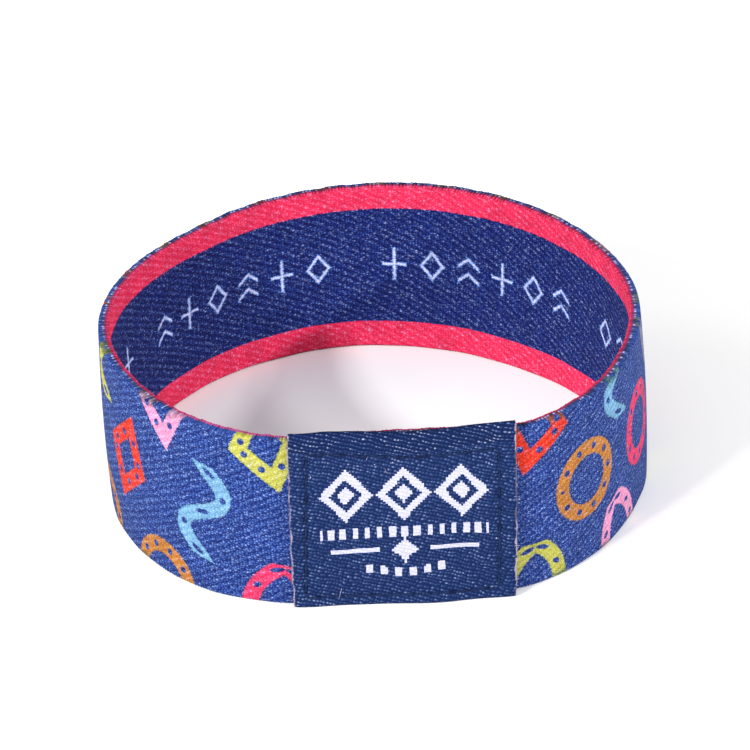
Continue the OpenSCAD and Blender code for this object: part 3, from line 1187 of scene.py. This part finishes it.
# Shares of the label's width and height where the needle pulled a fibre up
PULLED_FIBRES = np.array([(0.09, 0.76), (0.38, 0.83), (0.46, 0.84), (0.3, 0.88), (0.92, 0.35), (0.2, 0.06)])

LABEL_START = float(along_at(LABEL_LEFT))


def label_width(v):
    """Width of the label at a share of its height."""
    return along_at(LABEL_RIGHT_FOOT + (LABEL_RIGHT_TOP - LABEL_RIGHT_FOOT) * v) - LABEL_START


LABEL_W = float(label_width(0.5))


def label_height(u):
    """Height of the label, whose folded top sags between its ends, right of its middle the most."""
    right_lean = 1.25
    sag = LABEL_SAG * np.sin(math.pi * u**right_lean) ** 2
    return LABEL_H_LEFT + (LABEL_H_RIGHT - LABEL_H_LEFT) * u - sag


def seam_inset(u, v):
    """Distance inside the rectangle of stitches, and less than 0 outside it."""
    x, y = u * LABEL_W, v * label_height(u)
    left = x - SEAM_LEFT_FOOT - (SEAM_LEFT_TOP - SEAM_LEFT_FOOT) * v
    right = LABEL_W - x - SEAM_RIGHT
    top = label_height(u) - y - SEAM_TOP_LEFT - (SEAM_TOP_RIGHT - SEAM_TOP_LEFT) * u
    return np.minimum(np.minimum(left, right), np.minimum(top, y - SEAM_FOOT))


def label_front(u, v):
    """How far the label's front stands off the strap, u and v from 0 at its lower left corner to 1."""
    x, y = u * LABEL_W, v * label_height(u)
    top = label_height(u) - y
    middle = LABEL_EDGE_T + (LABEL_MIDDLE_T - LABEL_EDGE_T) * 4 * u * (1 - u)
    steepness = 4
    hem = HEM_STEP / (1 + np.exp((np.minimum(top, y * 2) - HEM) * steepness))
    pull = SEAM_PULL * bell(seam_inset(u, v), SEAM_PULL_REACH)
    # Two slanting waves, each with its height, slope, period and seed
    quilt = 0.05 * waves(x + 0.35 * y, 5.5, 21) + 0.03 * waves(y - 0.2 * x, 3.4, 22)
    top_reach, side_reach = 1.2, 1.0
    from_side = np.minimum(x, LABEL_W - x)
    ripple = np.sin(2 * math.pi * x / STITCH_PITCH) * bell(top - SEAM_TOP_LEFT, top_reach)
    ripple += np.sin(2 * math.pi * y / STITCH_PITCH) * bell(from_side - SEAM_RIGHT, side_reach)
    belly_place, belly_width, belly_height = 0.66, 0.2, 5.0
    belly = BELLY * bell(u - belly_place, belly_width) * np.clip(1 - y / belly_height, 0, 1)
    return LABEL_GAP + middle + hem - pull + quilt + belly + RIPPLE * ripple


def label_curl(u, v):
    """How far the lower right corner curls off the strap."""
    return CORNER_CURL * u**CURL_REACH * (1 - v)


def label_point(u, v, out):
    """Point of the label from its shares of width and height and its distance off the strap."""
    # The fold wavers in the top quarter, and the cut ends in the outermost fortieths
    wave = 0.03 * waves(u * LABEL_W, 4.0, 23) * np.clip(4 * v - 3, 0, 1)
    up = v * label_height(u) + wave
    fray = 0.05 * waves(up, 2.4, 24) * np.clip(40 * np.abs(u - 0.5) - 19, 0, 1)
    return off_face(angle_at(LABEL_START + label_width(v) * u + fray), up, out + label_curl(u, v))


def label_mesh():
    """The label as a closed form: front, folded top and foot, and a flat back."""
    u = np.linspace(0, 1, LABEL_COLUMNS)[:, None]
    even = np.linspace(0, 1, LABEL_ROWS)[None, :]
    # Rows are closer together towards the folds
    crowded = 0.35
    v_front = (1 - crowded) * even + crowded * (1 - np.cos(math.pi * even)) / 2 + 0 * u
    v_back = np.linspace(1, 0, LABEL_BACK_ROWS)[None, :] + 0 * u
    # Each column runs up the front, over the fold, down the back and under the foot
    from_edge = np.minimum(v_front, 1 - v_front) * label_height(u)
    rounding = np.sqrt(1 - np.clip(1 - from_edge / FOLD_R, 0, 1) ** 2)
    front = LABEL_GAP + (label_front(u, v_front) - LABEL_GAP) * (1 + rounding) / 2
    fold_back = 0.3
    back = LABEL_GAP + fold_back * ((v_back == 0) | (v_back == 1))
    all_u = np.concatenate([u + 0 * v_front, u + 0 * v_back], axis=1)
    all_v = np.concatenate([v_front, v_back], axis=1)
    points = label_point(all_u, all_v, np.concatenate([front, back], axis=1))
    count = LABEL_ROWS + LABEL_BACK_ROWS
    i, j = np.meshgrid(np.arange(LABEL_COLUMNS - 1), np.arange(count), indexing="ij")
    m = (j + 1) % count
    quads = np.stack([i * count + j, (i + 1) * count + j, (i + 1) * count + m, i * count + m], -1)
    left_cap = list(range(count))
    right_cap = [(LABEL_COLUMNS - 1) * count + k for k in range(count)][::-1]
    mesh = quad_mesh("damask_label", points, quads, [left_cap, right_cap])
    corners, _ = corners_of(mesh)
    # Distances are taken along the cloth, so that the weave isn't stretched where it folds over
    steps = np.linalg.norm(np.diff(points, axis=1), axis=2)
    run = np.concatenate([0 * u, np.cumsum(steps, axis=1)], axis=1)
    from_top = np.abs(run[:, [LABEL_ROWS - 1]] - run)
    y = label_height(all_u) - from_top
    write_uv(mesh, "label_mm", np.stack([(all_u - 0.5) * LABEL_W, y], -1).reshape(-1, 2)[corners])
    edges = np.stack([from_top, seam_inset(all_u, all_v)], -1)
    write_uv(mesh, "label_edges_mm", edges.reshape(-1, 2)[corners])
    write_float(mesh, "off_strap_mm", np.concatenate([front, back], axis=1), "POINT")
    return mesh


def over_label(u, v, lift=0.0):
    """Points over the label's front."""
    return label_point(u, v, label_front(u, v) + lift)


def out_of_label(u, v):
    """Directions square to the label's front."""
    step = 0.002
    run = over_label(u + step, v) - over_label(u - step, v)
    rise = over_label(u, v + step) - over_label(u, v - step)
    out = np.cross(run, rise)
    return out / np.linalg.norm(out, axis=-1)[..., None]


def seam_corner(side, end):
    """Shares of width and height where two of the seam's lines meet."""
    drop = SEAM_TOP_LEFT + (SEAM_TOP_RIGHT - SEAM_TOP_LEFT) * side
    v = 1 - drop / LABEL_H_LEFT if end else SEAM_FOOT / LABEL_H_LEFT
    left = SEAM_LEFT_TOP if end else SEAM_LEFT_FOOT
    return np.array([1 - SEAM_RIGHT / LABEL_W if side else left / LABEL_W, v])


def seam_stitches(material):
    """Running stitches round the label, in the groove that they pull."""
    corners = [seam_corner(0, 0), seam_corner(1, 0), seam_corner(1, 1), seam_corner(0, 1)]
    size = np.array([LABEL_W, LABEL_H_LEFT])
    spots, ways = [], []
    for start, end in zip(corners, corners[1:] + corners[:1]):
        length = np.linalg.norm((end - start) * size)
        count = round(length / STITCH_PITCH)
        share = (np.arange(count) + 0.5) / count
        spots.append(start + share[:, None] * (end - start))
        ways.append(np.tile((end - start) / length, (count, 1)))
    spots, ways = np.concatenate(spots), np.concatenate(ways)
    step, lift = 0.3, 0.05
    points, ahead = [over_label(*places.T, lift) for places in (spots, spots + step * ways)]
    return grow(
        "seam_stitches",
        points,
        {"run": ahead - points, "out": out_of_label(*spots.T)},
        {},
        stitch_tree,
        {"Thread radius": THREAD_R, "Stitch length": STITCH_LENGTH, "Dive": STITCH_DIVE},
        0.0,
        material,
    )


def frayed_ends(material):
    """Fused yarn ends and loose fibres along the label's cut ends, and a few that the needle pulled up."""
    seed, count, lean = 31, 62, 0.5
    random = np.random.default_rng(seed)
    nearest, furthest, span, foot = 0.2, 0.8, 0.985, 0.008
    row = (np.arange(count) + random.uniform(nearest, furthest, count)) / count * span + foot
    pulled_u, pulled_v = PULLED_FIBRES.T
    u = np.concatenate([np.repeat([0.0, 1.0], count), pulled_u])
    v = np.concatenate([row, row, pulled_v])
    at_end = np.arange(len(u)) < 2 * count
    # Shares of the label's thickness between which the yarns end, and of the yarns without a loose fibre
    deepest, highest, no_fibre = 0.45, 0.95, 0.6
    depth = np.where(at_end, random.uniform(deepest, highest, len(u)), 1.0)
    points = label_point(u, v, label_front(u, v) * depth)
    square = face_normal(angle_at(LABEL_START + LABEL_W * u), v * LABEL_H_LEFT)
    # Sizes of the loose fibres, and of those that the needle pulled up
    loose, pulled = (0.4, 1.0), (1.2, 2.4)
    fibre = np.where(random.random(len(u)) > no_fibre, random.uniform(*loose, len(u)), 0.0)
    fibre = np.where(at_end, fibre, random.uniform(*pulled, len(u)))
    return grow(
        "frayed_ends",
        points,
        {"run": np.tile([0.0, 0.0, 1.0], (len(u), 1)), "out": np.pad(square, ((0, 0), (0, 1)))},
        {"fibre": fibre},
        fray_tree,
        {"Knot radius": KNOT_R, "Fibre radius": FIBRE_R, "Fibre length": FIBRE_LENGTH},
        lean,
        material,
    )


# The setting

LOOK_HEIGHT = 11.7
CAMERA_RISE = 29.29
CAMERA_DISTANCE = 817.9
CAMERA_ROLL = -2.0
FOCAL_PIXELS = 8000.0
IMAGE_PIXELS = 750.0
SENSOR = 36.0
TABLE_HALF = 1500.0
ROOM_GLOW = 0.62
# Bearing and rise in degrees, distance, size and power of each light
LIGHTS = {
    "key_light": (-134.2, 28.6, 650.0, 40.0, 4.1),
    "upper_key_light": (-126.0, 35.0, 650.0, 60.0, 1.6),
    "fill_light": (-34.8, 22.9, 700.0, 22.0, 4.0),
    "left_light": (180.0, 35.0, 650.0, 200.0, 0.65),
    "right_light": (0.0, 35.0, 650.0, 200.0, 0.6),
}


def set_camera():
    """Camera at the photograph's place: far off, 29 degrees above the surface, through a long lens."""
    data = bpy.data.cameras.new("camera")
    data.sensor_width = SENSOR
    data.lens = FOCAL_PIXELS / IMAGE_PIXELS * SENSOR
    camera = bpy.data.objects.new("camera", data)
    bpy.context.scene.collection.objects.link(camera)
    rise = math.radians(CAMERA_RISE)
    target = Vector((PLACE[0], PLACE[1], LOOK_HEIGHT)) * MM
    back = Vector((0, -math.cos(rise), math.sin(rise)))
    place = target + back * CAMERA_DISTANCE * MM
    turn = Matrix.Rotation(math.pi / 2 - rise, 4, "X") @ Matrix.Rotation(math.radians(CAMERA_ROLL), 4, "Z")
    camera.matrix_world = Matrix.Translation(place) @ turn
    bpy.context.scene.camera = camera


def area_light(name, bearing, rise, distance, size, power):
    """Square soft light, white, that points at the wristband from a bearing and a rise in degrees."""
    data = bpy.data.lights.new(name, "AREA")
    data.energy = power
    data.size = size * MM
    lamp = bpy.data.objects.new(name, data)
    bpy.context.scene.collection.objects.link(lamp)
    flat, high = math.cos(math.radians(rise)), math.sin(math.radians(rise))
    turn = math.radians(bearing)
    lamp.location = Vector((flat * math.cos(turn), flat * math.sin(turn), high)) * distance * MM
    lamp.rotation_euler = (-lamp.location).to_track_quat("-Z", "Y").to_euler()


def set_stage():
    """A white table, lights on both sides of the camera and a white room."""
    sides = (-1, -1), (1, -1), (1, 1), (-1, 1)
    corners = [(x * TABLE_HALF, y * TABLE_HALF, 0) for x, y in sides]
    mesh = quad_mesh("table_top", corners, [(0, 1, 2, 3)])
    material, tree = new_material("white_paper_sweep")
    end_material(tree, {"Base Color": linear("#f6f6f6"), "Roughness": 0.9, "Specular IOR Level": 0.1})
    make_object("table_top", mesh, material)
    world = bpy.data.worlds.new("white_room")
    bpy.context.scene.world = world
    world.use_nodes = True
    world.node_tree.nodes.clear()
    room = add(world.node_tree, "ShaderNodeBackground", linear("#ffffff"), ROOM_GLOW)
    add(world.node_tree, "ShaderNodeOutputWorld", room)
    for name, light in LIGHTS.items():
        area_light(name, *light)
    bpy.context.scene.view_settings.view_transform = "Standard"
    bpy.context.scene.view_settings.look = "None"


def main():
    """Builds the five pieces, attaches each to its body, and hides the CAD nodes that the strap and the
    label replace.
    """
    set_camera()
    strap = make_object("printed_strap", strap_mesh(), printed_elastic())
    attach(strap, BODY)
    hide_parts("elastic_band")

    loops = selvedge_loops(selvedge_yarn())
    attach(loops, BODY)

    label = make_object("damask_label", label_mesh(), damask_ribbon())
    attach(label, BODY)
    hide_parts("woven_label")

    stitches = seam_stitches(sewing_thread())
    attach(stitches, BODY)

    ends = frayed_ends(raw_fibre())
    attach(ends, BODY)
    set_stage()


main()
